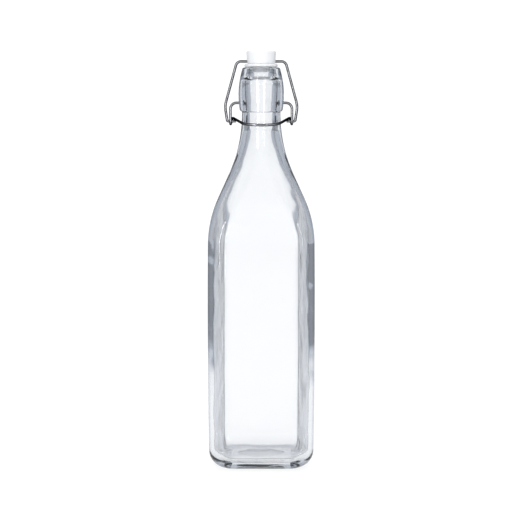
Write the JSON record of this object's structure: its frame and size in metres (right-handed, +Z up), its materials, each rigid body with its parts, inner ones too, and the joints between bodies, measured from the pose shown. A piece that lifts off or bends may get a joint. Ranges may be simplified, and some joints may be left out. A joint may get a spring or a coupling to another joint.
{
  "type": "swing-top growler",
  "caption": "Clear-glass square bottle with a sloping shoulder and a wire swing-top closure holding a white stopper on a clear gasket.",
  "frame": {"origin": "centre of the base, on the plane it stands on", "axes": "+Z up the bottle to the stopper, -Y towards the front, where the lever's bow closes, X through the lever's two pivots"},
  "size_m": [0.0788, 0.0788, 0.3094],
  "materials": {
    "clear_glass": "smooth moulded soda-lime glass",
    "white_plastic": "satin moulded white plastic",
    "clear_silicone": "translucent silicone",
    "steel_wire": "drawn stainless wire"
  },
  "bodies": {
    "bottle": {"glass_bottle": "clear_glass"},
    "lever": {"lever_wire": "steel_wire"},
    "bail": {"bail_wire": "steel_wire"},
    "stopper": {"stopper_head": "white_plastic", "gasket": "clear_silicone"}
  },
  "joints": [
    {"name": "lever_pivot", "type": "hinge", "parent": "bottle", "child": "lever", "pos_m": [0, 0, 0.2708], "axis": [-1, 0, 0], "range_deg": [0, 80]},
    {"name": "bail_pivot", "type": "hinge", "parent": "lever", "child": "bail", "pos_m": [0, 0.0012, 0.2572], "axis": [-1, 0, 0], "range_deg": [-57.2, 0]},
    {"name": "stopper_pivot", "type": "hinge", "parent": "bail", "child": "stopper", "pos_m": [0, 0, 0.3013], "axis": [-1, 0, 0], "range_deg": [-22.8, 0]}
  ],
  "couplings": [
    {"joint": "bail_pivot", "follows": "lever_pivot", "ratio": -0.715},
    {"joint": "stopper_pivot", "follows": "lever_pivot", "ratio": -0.285}
  ]
}
